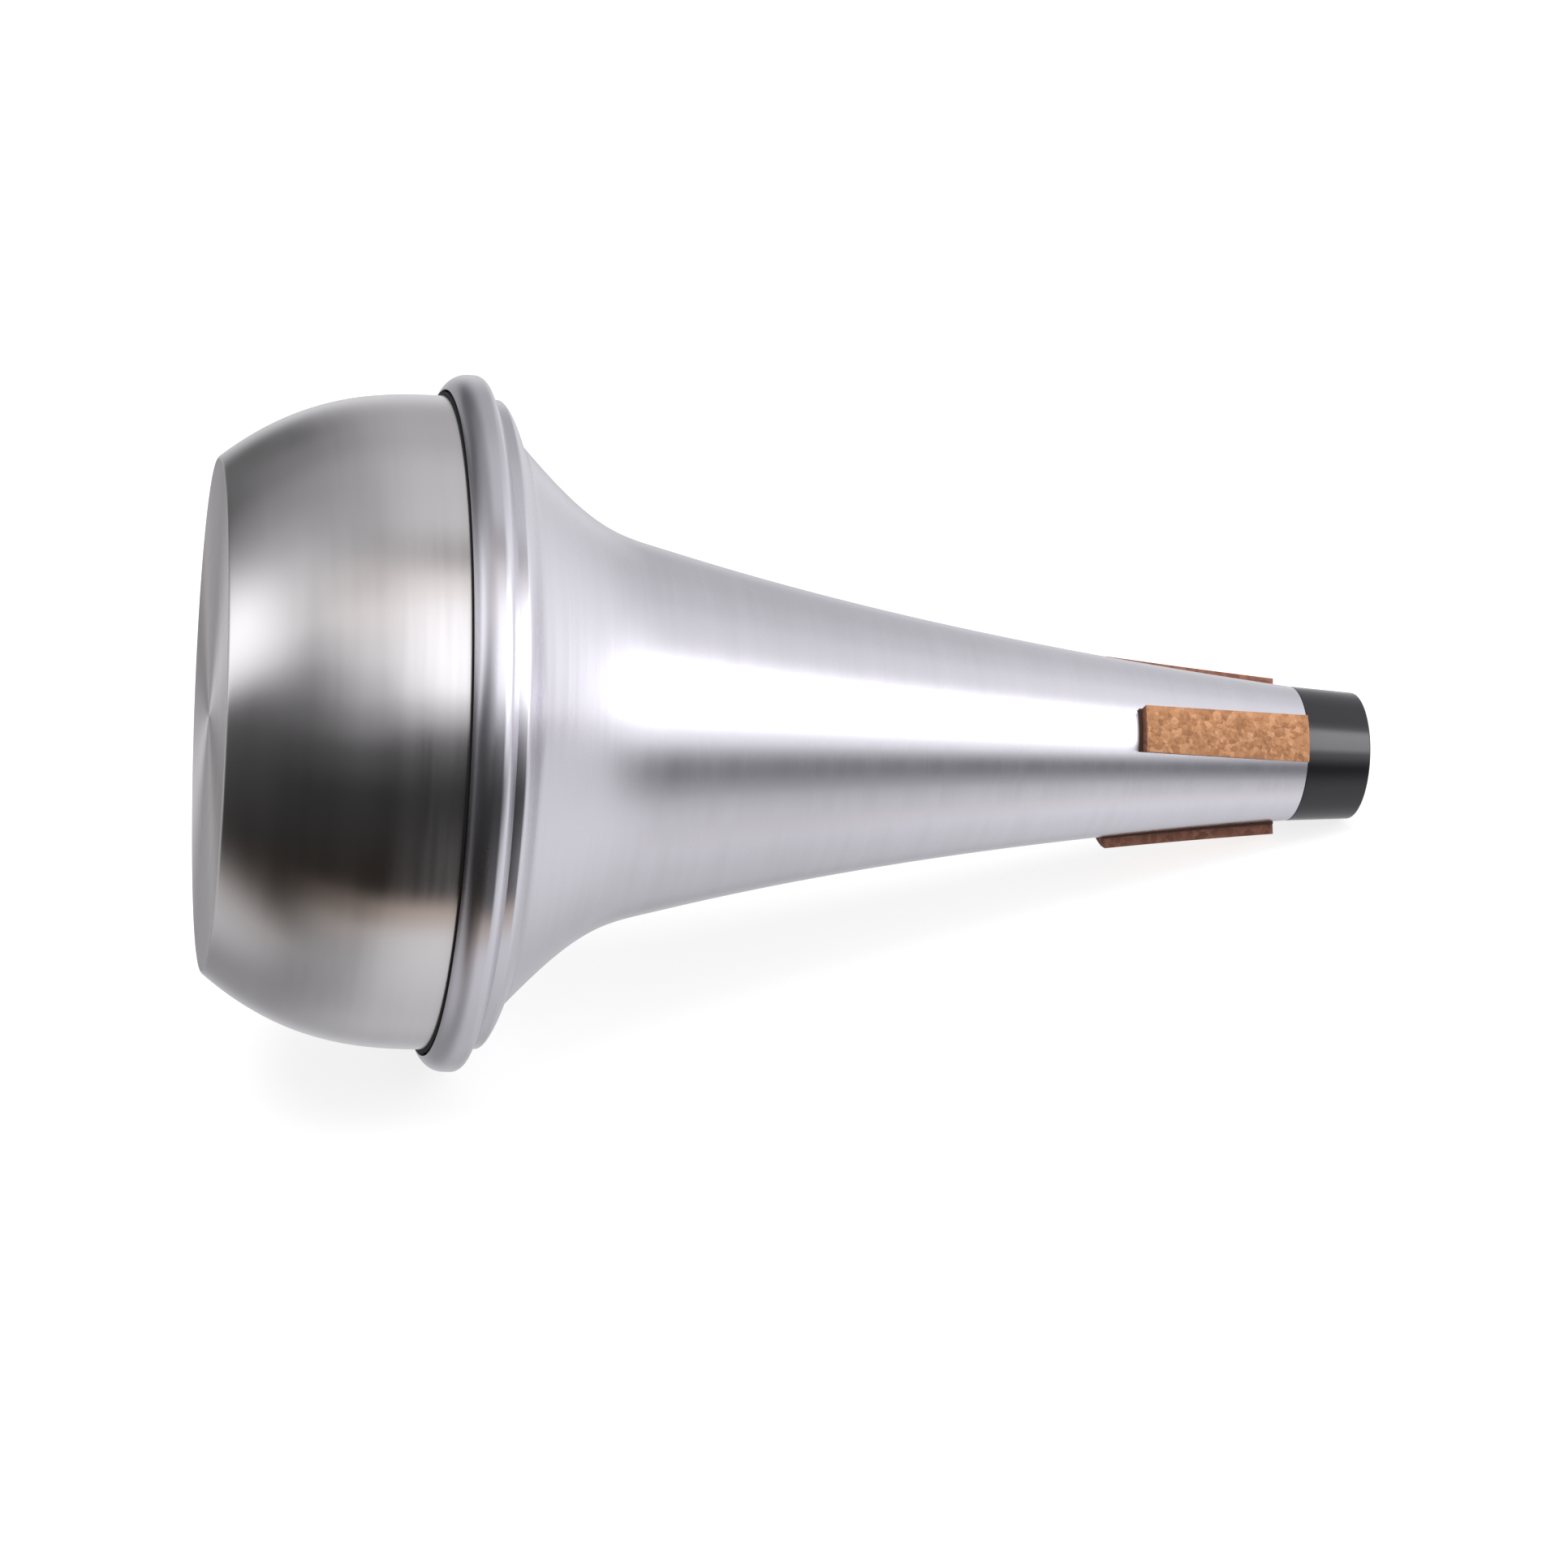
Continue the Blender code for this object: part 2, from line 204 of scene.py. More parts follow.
def spun_aluminium(name, colour, roughness):
    """Spun and finely brushed aluminium: hairlines run round the axis and stretch its gloss along it.

    Real hairlines are about 0.1 mm apart. These are 1 mm apart and faint, so that they just show.
    """
    made, tree, shader = new_material(name)
    local = ring_position(tree)
    stretched = add_node(tree, "ShaderNodeMapping", {"Vector": local})
    stretched.inputs["Scale"].default_value = (5.0, 5.0, 1100.0)
    hairlines = add_node(tree, "ShaderNodeTexNoise", {"Vector": stretched.outputs["Vector"]},
                         Scale=1.0, Detail=1.0, Roughness=0.5)
    broad = add_node(tree, "ShaderNodeMapping", {"Vector": local})
    broad.inputs["Scale"].default_value = (10.0, 10.0, 260.0)
    streaks = add_node(tree, "ShaderNodeTexNoise", {"Vector": broad.outputs["Vector"]},
                       Scale=1.0, Detail=3.0, Roughness=0.55)
    tone = add_node(tree, "ShaderNodeMapRange", {"Value": streaks.outputs["Fac"]})
    tone.inputs["From Min"].default_value = 0.3
    tone.inputs["From Max"].default_value = 0.7
    tone.inputs["To Min"].default_value = 0.955
    tone.inputs["To Max"].default_value = 1.035
    parts = add_node(tree, "ShaderNodeSeparateXYZ", {"Vector": local})
    # Painted sheen: the metal's colour grows brighter along the skin towards the neck
    neck_painted_sheen = add_node(tree, "ShaderNodeMapRange", {"Value": parts.outputs["Z"]})
    neck_painted_sheen.inputs["From Min"].default_value = PAINTED_SHEEN_START
    neck_painted_sheen.inputs["From Max"].default_value = PAINTED_SHEEN_FULL
    neck_painted_sheen.inputs["To Min"].default_value = 1.0
    neck_painted_sheen.inputs["To Max"].default_value = NECK_PAINTED_SHEEN
    surface = add_node(tree, "ShaderNodeNewGeometry")
    facing = add_node(tree, "ShaderNodeVectorMath", {0: surface.outputs["Normal"]},
                      operation="DOT_PRODUCT")
    facing.inputs[1].default_value = AXIS
    # Painted sheen: the flat base's colour is made lighter, found by its normal
    base_painted_sheen = add_node(tree, "ShaderNodeMapRange", {"Value": facing.outputs["Value"]})
    base_painted_sheen.inputs["From Min"].default_value = BASE_FACING[0]
    base_painted_sheen.inputs["From Max"].default_value = BASE_FACING[1]
    base_painted_sheen.inputs["To Min"].default_value = 1.0
    base_painted_sheen.inputs["To Max"].default_value = BASE_PAINTED_SHEEN
    tone_and_painted_sheen = tone.outputs["Result"]
    for gain in (neck_painted_sheen, base_painted_sheen):
        tone_and_painted_sheen = add_node(tree, "ShaderNodeMath", {0: tone_and_painted_sheen, 1: gain.outputs["Result"]},
                         operation="MULTIPLY").outputs["Value"]
    tinted = add_node(tree, "ShaderNodeVectorMath", {1: tone_and_painted_sheen}, operation="MULTIPLY")
    tinted.inputs[0].default_value = srgb(colour)[:3]
    gloss = add_node(tree, "ShaderNodeMapRange", {"Value": streaks.outputs["Fac"]})
    gloss.inputs["From Min"].default_value = 0.25
    gloss.inputs["From Max"].default_value = 0.75
    gloss.inputs["To Min"].default_value = roughness - 0.04
    gloss.inputs["To Max"].default_value = roughness + 0.05
    sanded = add_node(tree, "ShaderNodeMapRange", {"Value": facing.outputs["Value"]})
    sanded.inputs["From Min"].default_value = BASE_FACING[0]
    sanded.inputs["From Max"].default_value = BASE_FACING[1]
    sanded.inputs["To Max"].default_value = BASE_DULLNESS
    dulled = add_node(tree, "ShaderNodeMath",
                      {0: gloss.outputs["Result"], 1: sanded.outputs["Result"]}, operation="ADD")
    relief = add_node(tree, "ShaderNodeBump", {"Height": hairlines.outputs["Fac"]},
                      Strength=0.04, Distance=0.00002)
    around = add_node(tree, "ShaderNodeTexCoord")
    outward = add_node(tree, "ShaderNodeVectorMath", {0: around.outputs["Object"]},
                       operation="SUBTRACT")
    outward.inputs[1].default_value = BASE_CENTRE
    circling = add_node(tree, "ShaderNodeVectorMath", {1: outward.outputs["Vector"]},
                        operation="CROSS_PRODUCT")
    circling.inputs[0].default_value = AXIS
    along = add_node(tree, "ShaderNodeVectorMath",
                     {0: circling.outputs["Vector"], 1: surface.outputs["Normal"]},
                     operation="CROSS_PRODUCT")
    shader.inputs["Metallic"].default_value = 1.0
    shader.inputs["Anisotropic"].default_value = 0.8
    tree.links.new(tinted.outputs["Vector"], shader.inputs["Base Color"])
    tree.links.new(dulled.outputs["Value"], shader.inputs["Roughness"])
    tree.links.new(relief.outputs["Normal"], shader.inputs["Normal"])
    tree.links.new(along.outputs["Vector"], shader.inputs["Tangent"])
    return made


def pressed_cork():
    """Pressed cork: honey granules about 1 mm across, some pale and some dark, fully matt.

    The granules' own attribute tells them apart. The strip's sides are painted dark brown: painted shade.
    """
    made, tree, shader = new_material("pressed_cork_granules")
    place = add_node(tree, "ShaderNodeTexCoord")
    wobble = add_node(tree, "ShaderNodeTexNoise", {"Vector": place.outputs["Object"]},
                      Scale=1300.0, Detail=2.0)
    shift = add_node(tree, "ShaderNodeVectorMath", {0: wobble.outputs["Color"]}, operation="SCALE")
    shift.inputs["Scale"].default_value = 0.0006
    moved = add_node(tree, "ShaderNodeVectorMath",
                     {0: place.outputs["Object"], 1: shift.outputs["Vector"]}, operation="ADD")
    cells = add_node(tree, "ShaderNodeTexVoronoi", {"Vector": moved.outputs["Vector"]}, Scale=850.0)
    pick = add_node(tree, "ShaderNodeSeparateColor", {"Color": cells.outputs["Color"]})
    grain = add_node(tree, "ShaderNodeAttribute", attribute_name="grain_tone")
    mixed = add_node(tree, "ShaderNodeMath", {0: pick.outputs["Red"], 1: grain.outputs["Fac"]},
                     operation="ADD")
    ramp = add_node(tree, "ShaderNodeValToRGB", {"Fac": mixed.outputs["Value"]})
    ramp.color_ramp.elements[0].color = srgb("#8a6146")
    ramp.color_ramp.elements[1].color = srgb("#b38664")
    for position, colour in ((0.25, "#986c4c"), (0.75, "#a67958")):
        ramp.color_ramp.elements.new(position).color = srgb(colour)
    # Painted shade: the strip's sides are coloured dark brown
    side = add_node(tree, "ShaderNodeAttribute", attribute_name="side_painted_shade")
    side_shade_mix = add_node(tree, "ShaderNodeMix", {"Factor": side.outputs["Fac"]}, data_type="RGBA")
    tree.links.new(ramp.outputs["Color"], side_shade_mix.inputs[6])
    shade = add_node(tree, "ShaderNodeMapRange", {"Value": pick.outputs["Green"]})
    shade.inputs["To Min"].default_value = 0.7
    shade.inputs["To Max"].default_value = 1.2
    brown = add_node(tree, "ShaderNodeVectorMath", {1: shade.outputs["Result"]}, operation="MULTIPLY")
    brown.inputs[0].default_value = srgb("#7a5345")[:3]
    tree.links.new(brown.outputs["Vector"], side_shade_mix.inputs[7])
    relief = add_node(tree, "ShaderNodeBump", {"Height": cells.outputs["Distance"]},
                      Strength=0.5, Distance=0.0002, invert=True)
    tree.links.new(side_shade_mix.outputs[2], shader.inputs["Base Color"])
    tree.links.new(relief.outputs["Normal"], shader.inputs["Normal"])
    shader.inputs["Roughness"].default_value = 0.9
    shader.inputs["Specular IOR Level"].default_value = 0.2
    return made


def turned_black_plastic():
    """Black acetal turned and polished on a lathe: deep black with a clear gloss and faint tool lines."""
    made, tree, shader = new_material("turned_black_acetal")
    stretched = add_node(tree, "ShaderNodeMapping", {"Vector": ring_position(tree)})
    stretched.inputs["Scale"].default_value = (4.0, 4.0, 1700.0)
    lines = add_node(tree, "ShaderNodeTexNoise", {"Vector": stretched.outputs["Vector"]},
                     Scale=1.0, Detail=2.0)
    gloss = add_node(tree, "ShaderNodeMapRange", {"Value": lines.outputs["Fac"]})
    gloss.inputs["To Min"].default_value = 0.12
    gloss.inputs["To Max"].default_value = 0.22
    relief = add_node(tree, "ShaderNodeBump", {"Height": lines.outputs["Fac"]},
                      Strength=0.25, Distance=0.00002)
    shader.inputs["Base Color"].default_value = srgb("#0d0d11")
    shader.inputs["Specular IOR Level"].default_value = 0.6
    tree.links.new(gloss.outputs["Result"], shader.inputs["Roughness"])
    tree.links.new(relief.outputs["Normal"], shader.inputs["Normal"])
    return made


def plain_finish(name, colour, roughness, grain):
    """Matt finish with a little unevenness of that grain size in metres, for rubber, glue and felt."""
    made, tree, shader = new_material(name)
    place = add_node(tree, "ShaderNodeTexCoord")
    mottle = add_node(tree, "ShaderNodeTexNoise", {"Vector": place.outputs["Object"]},
                      Scale=1.0 / grain, Detail=3.0)
    tone = add_node(tree, "ShaderNodeMapRange", {"Value": mottle.outputs["Fac"]})
    tone.inputs["To Min"].default_value = 0.75
    tone.inputs["To Max"].default_value = 1.25
    tinted = add_node(tree, "ShaderNodeVectorMath", {1: tone.outputs["Result"]}, operation="MULTIPLY")
    tinted.inputs[0].default_value = srgb(colour)[:3]
    tree.links.new(tinted.outputs["Vector"], shader.inputs["Base Color"])
    shader.inputs["Roughness"].default_value = roughness
    return made


def arc(station, radius, size, start_deg, end_deg, count):
    """Points (radius, station) on a circle. Angle 0 points to the neck and 90 outwards."""
    angles = [math.radians(start_deg + (end_deg - start_deg) * i / (count - 1)) for i in range(count)]
    return [(radius + size * math.sin(a), station + size * math.cos(a)) for a in angles]


def bezier(handles, count):
    """Points along a Bezier curve of any degree, both ends included."""
    points = []
    for index in range(count):
        share = index / (count - 1)
        level = [tuple(handle) for handle in handles]
        while len(level) > 1:
            pairs = zip(level, level[1:])
            level = [tuple(a + (b - a) * share for a, b in zip(p, q)) for p, q in pairs]
        points.append(level[0])
    return points


def horn_radius(station):
    """Outer radius of the exponential horn."""
    share = (station - WAIST_STATION) / (NECK_STATION - WAIST_STATION)
    return WAIST_RADIUS * (NECK_RADIUS / WAIST_RADIUS) ** share


def bulb_radius(station):
    """Outer radius of the bowl's bulging side."""
    left = (BULB_LENGTH - station) / (BULB_LENGTH - BASE_BEND_LENGTH)
    rise = BULB_RADIUS - BASE_FACE_RADIUS - BASE_BEND_HEIGHT
    return BULB_RADIUS - rise * left ** BULB_FULLNESS


def bead_lip_angle():
    """Angle at which the bead stops over the sealing ring."""
    height = SEAL_THICKNESS + 2.0 * FIT_GAP
    return 180.0 - math.degrees(math.asin(height / (BEAD_RADIUS - SHEET)))


def flare_and_bead_profile():
    """Outer side of the front sheet from the horn's wide end to the lip of the bead."""
    wide_radius = horn_radius(HORN_START)
    slope = wide_radius * math.log(WAIST_RADIUS / NECK_RADIUS) / (NECK_STATION - WAIST_STATION)
    foot = (SHOULDER_RADIUS - STEP_HEIGHT, SHOULDER_STATION + SHOULDER_RUN + STEP_RUN)
    flare = bezier([
        (wide_radius, HORN_START),
        (wide_radius + slope * FLARE_HANDLES[0], HORN_START - FLARE_HANDLES[0]),
        (foot[0] - FLARE_START_SLOPE * FLARE_HANDLES[1], foot[1] + FLARE_HANDLES[1]),
        foot,
    ], 44)
    shoulder = bezier([
        foot,
        (SHOULDER_RADIUS, SHOULDER_STATION + SHOULDER_RUN + SHOULDER_ROUND),
        (SHOULDER_RADIUS, SHOULDER_STATION + SHOULDER_RUN),
    ], 20)
    notch = [(SHOULDER_RADIUS, SHOULDER_STATION)]
    front = arc(BEAD_FRONT_STATION, BEAD_FRONT_LIFT, BEAD_FRONT_RADIUS, BEAD_FRONT_LEAN_DEG, 90.0, 20)
    back = arc(BEAD_STATION, BULB_RADIUS, BEAD_RADIUS, 90.0, bead_lip_angle(), 20)
    return flare + shoulder[1:] + notch + front + back


def rear_bowl_profile():
    """Outer side of the rear sheet, from the hook in the bead to the middle of the base."""
    hook_radius = BEAD_RADIUS - SHEET - HOOK_GAP - SHEET
    hook = arc(BEAD_STATION, BULB_RADIUS, hook_radius, HOOK_WRAP_DEG, 0.0, 10)
    count = 60
    bulb = []
    for index in range(count):
        station = BULB_LENGTH + (BASE_EDGE - BULB_LENGTH) * index / (count - 1)
        bulb.append((bulb_radius(station), station))
    corner = bulb_radius(0.0)
    edge = bezier([bulb[-1], (corner, 0.0), (corner - BASE_EDGE, 0.0)], 10)
    floor_rings = [(BASE_FACE_RADIUS * share, 0.0) for share in (0.8, 0.6, 0.4, 0.2, 0.0)]
    return hook + bulb + edge[1:] + floor_rings


def throat_sleeve_profile():
    """Closed section of the sleeve, its collar flush with the neck."""
    collar = NECK_STATION + 0.3 * FIT_GAP
    spigot = NECK_RADIUS - SHEET - FIT_GAP
    inner_end = NECK_STATION - SLEEVE_SPIGOT_LENGTH
    mouth = arc(TOTAL_LENGTH - SLEEVE_EDGE, SLEEVE_BORE_RADIUS + SLEEVE_EDGE, SLEEVE_EDGE, -90.0, 0.0, 6)
    rim = arc(TOTAL_LENGTH - SLEEVE_EDGE, SLEEVE_END_RADIUS - SLEEVE_EDGE, SLEEVE_EDGE, 0.0, 90.0, 6)
    return mouth + rim + [
        (NECK_RADIUS, collar + SLEEVE_EDGE * 0.3),
        (NECK_RADIUS - SLEEVE_EDGE * 0.3, collar),
        (spigot, collar),
        (spigot, inner_end + SLEEVE_EDGE),
        (spigot - SLEEVE_EDGE, inner_end),
        (SLEEVE_BORE_RADIUS, inner_end),
    ]


def seam_seal_profile():
    """Closed section of the black ring under the bead's lip."""
    inner = BULB_RADIUS + 0.2 * FIT_GAP
    outer = BULB_RADIUS + FIT_GAP + SEAL_THICKNESS
    start = BEAD_STATION + BEAD_RADIUS * math.cos(math.radians(bead_lip_angle())) - FIT_GAP
    return [
        (inner, start + SEAL_WIDTH),
        (outer, start + SEAL_WIDTH),
        (outer, start + 0.3 * SEAL_THICKNESS),
        (outer - 0.3 * SEAL_THICKNESS, start),
        (inner, start),
    ]


def settle(obj, node):
    """Turn an object into a plain mesh in its place, and let it stand for its CAD node."""
    bpy.context.view_layer.update()
    graph = bpy.context.evaluated_depsgraph_get()
    mesh = bpy.data.meshes.new_from_object(obj.evaluated_get(graph))
    mesh.name = obj.name
    obj.modifiers.clear()
    obj.data = mesh
    mesh.transform(LYING)
    mesh.shade_smooth()
    mesh.set_sharp_from_angle(angle=math.radians(SHARP_EDGE_DEG))
    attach(obj, "root")
    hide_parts(node)
    return obj


def new_tree(name, inputs):
    """Empty Geometry Nodes tree with named inputs, and its group input and output nodes."""
    tree = bpy.data.node_groups.new(name, "GeometryNodeTree")
    for label, kind in inputs:
        tree.interface.new_socket(label, in_out="INPUT", socket_type="NodeSocket" + kind)
    tree.interface.new_socket("Piece", in_out="OUTPUT", socket_type="NodeSocketGeometry")
    return tree, add_node(tree, "NodeGroupInput").outputs, add_node(tree, "NodeGroupOutput")


def give_tree(obj, tree, values):
    """Put a tree on an object, with its named inputs set by their identifiers."""
    grown = obj.modifiers.new(tree.name, "NODES")
    grown.node_group = tree
    for socket in tree.interface.items_tree:
        if socket.name in values:
            grown[socket.identifier] = values[socket.name]


def exponential_horn():
    """Tree that adds the horn to the flare: its radius shrinks by the same share in every millimetre."""
    tree, given, piece = new_tree("exponential_horn", (
        ("Flare", "Geometry"), ("Wide Station", "Float"), ("Wide Radius", "Float"),
        ("Neck Station", "Float"), ("Neck Radius", "Float"), ("Rings", "Int"), ("Columns", "Int"),
        ("Join Distance", "Float"), ("Metal", "Material")))
    sheet = add_node(tree, "GeometryNodeMeshGrid",
                     {"Vertices X": given["Columns"], "Vertices Y": given["Rings"]},
                     Size_X=1.0, Size_Y=1.0)
    flat = add_node(tree, "ShaderNodeSeparateXYZ",
                    {"Vector": add_node(tree, "GeometryNodeInputPosition").outputs["Position"]})
    angle = add_node(tree, "ShaderNodeMapRange", {"Value": flat.outputs["X"]})
    angle.inputs["From Min"].default_value = -0.5
    angle.inputs["From Max"].default_value = 0.5
    angle.inputs["To Max"].default_value = 2.0 * math.pi
    share = add_node(tree, "ShaderNodeMath", {0: flat.outputs["Y"]}, operation="ADD")
    share.inputs[1].default_value = 0.5
    station = add_node(tree, "ShaderNodeMapRange",
                       {"Value": share.outputs["Value"], "To Min": given["Wide Station"],
                        "To Max": given["Neck Station"]})
    whole = add_node(tree, "ShaderNodeMath", {0: given["Neck Radius"], 1: given["Wide Radius"]},
                     operation="DIVIDE")
    part = add_node(tree, "ShaderNodeMath", {0: whole.outputs["Value"], 1: share.outputs["Value"]},
                    operation="POWER")
    radius = add_node(tree, "ShaderNodeMath", {0: given["Wide Radius"], 1: part.outputs["Value"]},
                      operation="MULTIPLY")
    sides = []
    for turn in ("COSINE", "SINE"):
        unit = add_node(tree, "ShaderNodeMath", {0: angle.outputs["Result"]}, operation=turn)
        sides.append(add_node(tree, "ShaderNodeMath",
                              {0: unit.outputs["Value"], 1: radius.outputs["Value"]},
                              operation="MULTIPLY"))
    spot = add_node(tree, "ShaderNodeCombineXYZ",
                    {"X": sides[0].outputs["Value"], "Y": sides[1].outputs["Value"],
                     "Z": station.outputs["Result"]})
    rolled = add_node(tree, "GeometryNodeSetPosition",
                      {"Geometry": sheet.outputs["Mesh"], "Position": spot.outputs["Vector"]})
    both = add_node(tree, "GeometryNodeJoinGeometry", {"Geometry": given["Flare"]})
    tree.links.new(rolled.outputs["Geometry"], both.inputs["Geometry"])
    joined = add_node(tree, "GeometryNodeMergeByDistance",
                      {"Geometry": both.outputs["Geometry"], "Distance": given["Join Distance"]})
    real = add_node(tree, "GeometryNodeRealizeInstances", {"Geometry": joined.outputs["Geometry"]})
    dressed = add_node(tree, "GeometryNodeSetMaterial",
                       {"Geometry": real.outputs["Geometry"], "Material": given["Metal"]})
    tree.links.new(dressed.outputs["Geometry"], piece.inputs["Piece"])
    return tree


def cork_granules():
    """Tree that presses flat granules into a strip's outer face and marks its sides for painted shade."""
    tree, given, piece = new_tree("cork_granules", (
        ("Strip", "Geometry"), ("Sideways", "Vector"), ("Middle Station", "Float"),
        ("Half Width", "Float"), ("Half Length", "Float"), ("Spacing", "Float"),
        ("Smallest", "Vector"), ("Largest", "Vector"), ("Seed", "Int"), ("Cork", "Material")))
    spot = add_node(tree, "GeometryNodeInputPosition").outputs["Position"]
    level = add_node(tree, "ShaderNodeVectorMath", {0: spot}, operation="MULTIPLY")
    level.inputs[1].default_value = (1.0, 1.0, 0.0)
    outward = add_node(tree, "ShaderNodeVectorMath", {0: level.outputs["Vector"]}, operation="NORMALIZE")
    faced = add_node(tree, "ShaderNodeVectorMath",
                     {0: add_node(tree, "GeometryNodeInputNormal").outputs["Normal"],
                      1: outward.outputs["Vector"]}, operation="DOT_PRODUCT")
    # Mark of the strip's sides, which get painted shade
    side = add_node(tree, "ShaderNodeMapRange", {"Value": faced.outputs["Value"]})
    side.inputs["From Min"].default_value = 0.5
    side.inputs["From Max"].default_value = 0.97
    side.inputs["To Min"].default_value = 1.0
    side.inputs["To Max"].default_value = 0.0
    marked = add_node(tree, "GeometryNodeStoreNamedAttribute",
                      {"Geometry": given["Strip"], "Value": side.outputs["Result"]},
                      data_type="FLOAT", domain="FACE", Name="side_painted_shade")
    across = add_node(tree, "ShaderNodeVectorMath", {0: spot, 1: given["Sideways"]},
                      operation="DOT_PRODUCT")
    along = add_node(tree, "ShaderNodeMath",
                     {0: add_node(tree, "ShaderNodeSeparateXYZ", {"Vector": spot}).outputs["Z"],
                      1: given["Middle Station"]}, operation="SUBTRACT")
    inside = faced.outputs["Value"]
    for offset, limit in ((across, "Half Width"), (along, "Half Length")):
        reach = add_node(tree, "ShaderNodeMath", {0: offset.outputs["Value"]}, operation="ABSOLUTE")
        within = add_node(tree, "ShaderNodeMath", {0: reach.outputs["Value"], 1: given[limit]},
                          operation="LESS_THAN")
        inside = add_node(tree, "ShaderNodeMath", {0: inside, 1: within.outputs["Value"]},
                          operation="MULTIPLY").outputs["Value"]
    outer = add_node(tree, "ShaderNodeMath", {0: inside}, operation="GREATER_THAN")
    outer.inputs[1].default_value = 0.9
    points = add_node(tree, "GeometryNodeDistributePointsOnFaces",
                      {"Mesh": marked.outputs["Geometry"], "Selection": outer.outputs["Value"],
                       "Distance Min": given["Spacing"], "Seed": given["Seed"]},
                      distribute_method="POISSON", Density_Max=GRAIN_DENSITY)
    granule = add_node(tree, "GeometryNodeMeshUVSphere", Segments=7, Rings=4, Radius=0.5)
    size = add_node(tree, "FunctionNodeRandomValue",
                    {"Min": given["Smallest"], "Max": given["Largest"], "Seed": given["Seed"]},
                    data_type="FLOAT_VECTOR")
    heading = add_node(tree, "FunctionNodeRandomValue", {"Seed": given["Seed"]}, data_type="FLOAT_VECTOR")
    heading.inputs[1].default_value = (GRAIN_LEAN, GRAIN_LEAN, 2.0 * math.pi)
    spin = add_node(tree, "FunctionNodeEulerToRotation", {"Euler": heading.outputs["Value"]})
    turned = add_node(tree, "FunctionNodeRotateRotation",
                      {"Rotation": points.outputs["Rotation"], "Rotate By": spin.outputs["Rotation"]},
                      rotation_space="LOCAL")
    laid = add_node(tree, "GeometryNodeInstanceOnPoints",
                    {"Points": points.outputs["Points"], "Instance": granule.outputs["Mesh"],
                     "Rotation": turned.outputs["Rotation"], "Scale": size.outputs["Value"]})
    tone = add_node(tree, "FunctionNodeRandomValue", {"Seed": given["Seed"]}, data_type="FLOAT")
    tone.inputs[2].default_value = GRAIN_TONES[0]
    tone.inputs[3].default_value = GRAIN_TONES[1]
    toned = add_node(tree, "GeometryNodeStoreNamedAttribute",
                     {"Geometry": laid.outputs["Instances"], "Value": tone.outputs[1]},
                     data_type="FLOAT", domain="INSTANCE", Name="grain_tone")
    both = add_node(tree, "GeometryNodeJoinGeometry", {"Geometry": marked.outputs["Geometry"]})
    tree.links.new(toned.outputs["Geometry"], both.inputs["Geometry"])
    real = add_node(tree, "GeometryNodeRealizeInstances", {"Geometry": both.outputs["Geometry"]})
    dressed = add_node(tree, "GeometryNodeSetMaterial",
                       {"Geometry": real.outputs["Geometry"], "Material": given["Cork"]})
    tree.links.new(dressed.outputs["Geometry"], piece.inputs["Piece"])
    return tree


def turned_piece(name, profile, material, closed=False):
    """Object that turns a profile about the axis. Its wall, if it is a sheet, comes afterwards."""
    mesh = bpy.data.meshes.new(name)
    points = [(radius * FACET_REACH, 0.0, station) for radius, station in profile]
    edges = [(index, index + 1) for index in range(len(points) - 1)]
    if closed:
        edges.append((len(points) - 1, 0))
    mesh.from_pydata(points, edges, [])
    mesh.materials.append(material)
    obj = bpy.data.objects.new(name, mesh)
    bpy.context.collection.objects.link(obj)
    screw = obj.modifiers.new("turn", "SCREW")
    screw.steps = SKIN_STEPS
    screw.render_steps = SKIN_STEPS
    screw.use_merge_vertices = True
    screw.merge_threshold = JOIN_DISTANCE
    return obj


def give_wall(obj, thickness, offset):
    """Give a sheet its thickness, inwards at offset -1 and outwards at offset 1."""
    wall = obj.modifiers.new("wall", "SOLIDIFY")
    wall.thickness = thickness
    wall.offset = offset
    wall.use_even_offset = True


def horn_strip(name, azimuth, start, length, width, lift, thickness, cells, material):
    """A strip bent onto the horn, from its lift over the metal outwards."""
    sheet = bmesh.new()
    bmesh.ops.create_grid(sheet, x_segments=cells[0], y_segments=cells[1], size=0.5)
    for vertex in sheet.verts:
        station = start + (0.5 - vertex.co.x) * length
        across = vertex.co.y * width
        radius = horn_radius(station) * FACET_REACH + lift
        angle = azimuth + across / radius
        vertex.co = (radius * math.cos(angle), radius * math.sin(angle), station)
    mesh = bpy.data.meshes.new(name)
    sheet.to_mesh(mesh)
    sheet.free()
    mesh.materials.append(material)
    obj = bpy.data.objects.new(name, mesh)
    bpy.context.collection.objects.link(obj)
    give_wall(obj, thickness, 1.0)
    soften = obj.modifiers.new("soften", "BEVEL")
    soften.width = EDGE_WEAR
    soften.segments = 2
    soften.limit_method = "ANGLE"
    return obj


def make_shells(cone_metal, bowl_metal):
    """The two spun shells. The front one's horn is grown from its flare."""
    cone = turned_piece("front_cone_skin", flare_and_bead_profile(), cone_metal)
    give_tree(cone, exponential_horn(), {
        "Wide Station": HORN_START, "Wide Radius": horn_radius(HORN_START) * FACET_REACH,
        "Neck Station": NECK_STATION, "Neck Radius": NECK_RADIUS * FACET_REACH,
        "Rings": HORN_RINGS, "Columns": SKIN_STEPS + 1, "Join Distance": JOIN_DISTANCE,
        "Metal": cone_metal})
    bowl = turned_piece("rear_bowl_skin", rear_bowl_profile(), bowl_metal)
    for obj, node, slot in ((cone, "front_cone", "cone_metal"), (bowl, "rear_bowl", "bowl_metal")):
        give_wall(obj, SHEET, -1.0)
        settle(obj, node)


